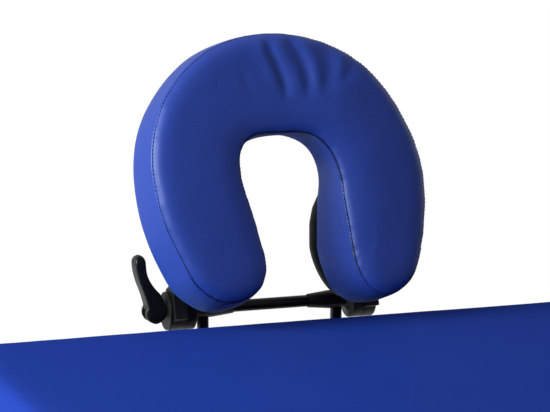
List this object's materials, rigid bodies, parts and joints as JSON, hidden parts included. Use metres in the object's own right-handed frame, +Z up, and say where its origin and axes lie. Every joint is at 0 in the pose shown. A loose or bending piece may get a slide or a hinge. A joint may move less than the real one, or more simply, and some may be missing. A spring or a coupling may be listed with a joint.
{
  "type": "massage table",
  "caption": "Folding massage table: padded split top on a wooden frame, folding height-adjustable legs with steel stays, and a tilting horseshoe face rest locked by a cam lever.",
  "frame": {"origin": "centre of the footprint of the whole object, on the floor", "axes": "+X across the table, to the right for a viewer who looks along +Y; +Y along the table towards the face rest; +Z up"},
  "size_m": [0.68, 1.9474, 0.9875],
  "materials": {
    "upholstery": "satin",
    "plywood": "matte",
    "beech": "satin",
    "steel": "satin",
    "webbing": "matte",
    "black_metal": "satin",
    "black_board": "matte",
    "black_plastic": "satin",
    "rubber": "matte"
  },
  "bodies": {
    "head_half": {"head_pad": "upholstery", "head_deck": "plywood", "head_rail_left": "beech", "head_rail_right": "beech", "head_end_rail": "beech", "head_centre_rail": "beech", "head_socket_block": "beech", "head_stay_bracket": "steel", "head_hinge_leaves": "steel", "hinge_pins": "steel", "head_handle": "webbing", "head_fasteners": "steel"},
    "foot_half": {"foot_pad": "upholstery", "foot_deck": "plywood", "foot_rail_left": "beech", "foot_rail_right": "beech", "foot_end_rail": "beech", "foot_centre_rail": "beech", "foot_socket_block": "beech", "foot_stay_bracket": "steel", "foot_hinge_leaves": "steel", "foot_handle": "webbing", "foot_fasteners": "steel"},
    "hook_left": {"hook_left": "steel"},
    "hook_right": {"hook_right": "steel"},
    "head_legs": {"head_leg_left": "beech", "head_leg_right": "beech", "head_stretcher": "beech", "head_leg_bolts": "steel", "head_stay_ear": "steel"},
    "head_lower_leg_left": {"head_lower_leg_left": "beech", "head_rubber_foot_left": "rubber"},
    "head_knob_left": {"head_knob_left": "black_plastic"},
    "head_lower_leg_right": {"head_lower_leg_right": "beech", "head_rubber_foot_right": "rubber"},
    "head_knob_right": {"head_knob_right": "black_plastic"},
    "head_stay_upper": {"head_stay_upper": "steel"},
    "head_stay_lower": {"head_stay_lower": "steel"},
    "foot_legs": {"foot_leg_left": "beech", "foot_leg_right": "beech", "foot_stretcher": "beech", "foot_leg_bolts": "steel", "foot_stay_ear": "steel"},
    "foot_lower_leg_left": {"foot_lower_leg_left": "beech", "foot_rubber_foot_left": "rubber"},
    "foot_knob_left": {"foot_knob_left": "black_plastic"},
    "foot_lower_leg_right": {"foot_lower_leg_right": "beech", "foot_rubber_foot_right": "rubber"},
    "foot_knob_right": {"foot_knob_right": "black_plastic"},
    "foot_stay_upper": {"foot_stay_upper": "steel"},
    "foot_stay_lower": {"foot_stay_lower": "steel"},
    "rest_frame": {"rest_frame": "black_metal", "rest_tees": "black_metal"},
    "face_rest": {"rest_hinges": "black_metal", "clamp_disc": "black_metal", "clamp_rod": "steel", "rest_board": "black_board", "rest_cushion": "upholstery"},
    "cam_lever": {"cam_lever": "black_plastic", "cam_pin": "steel"}
  },
  "joints": [
    {"name": "case_fold", "type": "hinge", "parent": "head_half", "child": "foot_half", "pos_m": [0, -0.0437, 0.569], "axis": [1, 0, 0], "range_deg": [0, 180]},
    {"name": "head_leg_fold", "type": "hinge", "parent": "head_half", "child": "head_legs", "pos_m": [0, 0.8143, 0.607], "axis": [-1, 0, 0], "range_deg": [0, 94]},
    {"name": "head_stay_fold", "type": "hinge", "parent": "head_half", "child": "head_stay_upper", "pos_m": [0, 0.5563, 0.622], "axis": [-1, 0, 0], "range_deg": [0, 135.18]},
    {"name": "head_stay_knee", "type": "hinge", "parent": "head_stay_upper", "child": "head_stay_lower", "pos_m": [0, 0.69487, 0.48432], "axis": [1, 0, 0], "range_deg": [0, 175.56]},
    {"name": "head_leg_slide_left", "type": "slide", "parent": "head_legs", "child": "head_lower_leg_left", "axis": [0, 0.0698, -0.9976], "range_m": [-0.06, 0.14]},
    {"name": "head_knob_turn_left", "type": "hinge", "parent": "head_legs", "child": "head_knob_left", "pos_m": [0, 0.8429, 0.19802], "axis": [1, 0, 0], "continuous": true},
    {"name": "head_leg_slide_right", "type": "slide", "parent": "head_legs", "child": "head_lower_leg_right", "axis": [0, 0.0698, -0.9976], "range_m": [-0.06, 0.14]},
    {"name": "head_knob_turn_right", "type": "hinge", "parent": "head_legs", "child": "head_knob_right", "pos_m": [0, 0.8429, 0.19802], "axis": [1, 0, 0], "continuous": true},
    {"name": "foot_leg_fold", "type": "hinge", "parent": "foot_half", "child": "foot_legs", "pos_m": [0, -0.9017, 0.607], "axis": [1, 0, 0], "range_deg": [0, 94]},
    {"name": "foot_stay_fold", "type": "hinge", "parent": "foot_half", "child": "foot_stay_upper", "pos_m": [0, -0.6437, 0.622], "axis": [1, 0, 0], "range_deg": [0, 135.18]},
    {"name": "foot_stay_knee", "type": "hinge", "parent": "foot_stay_upper", "child": "foot_stay_lower", "pos_m": [0, -0.78227, 0.48432], "axis": [-1, 0, 0], "range_deg": [0, 175.56]},
    {"name": "foot_leg_slide_left", "type": "slide", "parent": "foot_legs", "child": "foot_lower_leg_left", "axis": [0, -0.0698, -0.9976], "range_m": [-0.06, 0.14]},
    {"name": "foot_knob_turn_left", "type": "hinge", "parent": "foot_legs", "child": "foot_knob_left", "pos_m": [0, -0.9303, 0.19802], "axis": [1, 0, 0], "continuous": true},
    {"name": "foot_leg_slide_right", "type": "slide", "parent": "foot_legs", "child": "foot_lower_leg_right", "axis": [0, -0.0698, -0.9976], "range_m": [-0.06, 0.14]},
    {"name": "foot_knob_turn_right", "type": "hinge", "parent": "foot_legs", "child": "foot_knob_right", "pos_m": [0, -0.9303, 0.19802], "axis": [1, 0, 0], "continuous": true},
    {"name": "hook_swing_left", "type": "hinge", "parent": "foot_half", "child": "hook_left", "pos_m": [-0.215, -0.9637, 0.59], "axis": [0, 1, 0], "range_deg": [0, 90]},
    {"name": "hook_swing_right", "type": "hinge", "parent": "foot_half", "child": "hook_right", "pos_m": [0.215, -0.9637, 0.59], "axis": [0, -1, 0], "range_deg": [0, 90]},
    {"name": "rest_slide", "type": "slide", "parent": "head_half", "child": "rest_frame", "axis": [0, 1, 0], "range_m": [0, 0.1]},
    {"name": "rest_tilt", "type": "hinge", "parent": "rest_frame", "child": "face_rest", "pos_m": [0, 0.9213, 0.71], "axis": [1, 0, 0], "range_deg": [-85, 8]},
    {"name": "cam_lever_turn", "type": "hinge", "parent": "face_rest", "child": "cam_lever", "pos_m": [-0.1246, 0.9213, 0.71], "axis": [0, -1, 0], "range_deg": [0, 100]}
  ],
  "couplings": [
    {"joint": "head_leg_fold", "follows": "case_fold", "ratio": 0.52222},
    {"joint": "head_stay_fold", "follows": "case_fold", "ratio": 0.75102},
    {"joint": "head_stay_knee", "follows": "case_fold", "ratio": 0.97535},
    {"joint": "foot_leg_fold", "follows": "case_fold", "ratio": 0.52222},
    {"joint": "foot_stay_fold", "follows": "case_fold", "ratio": 0.75102},
    {"joint": "foot_stay_knee", "follows": "case_fold", "ratio": 0.97535}
  ]
}
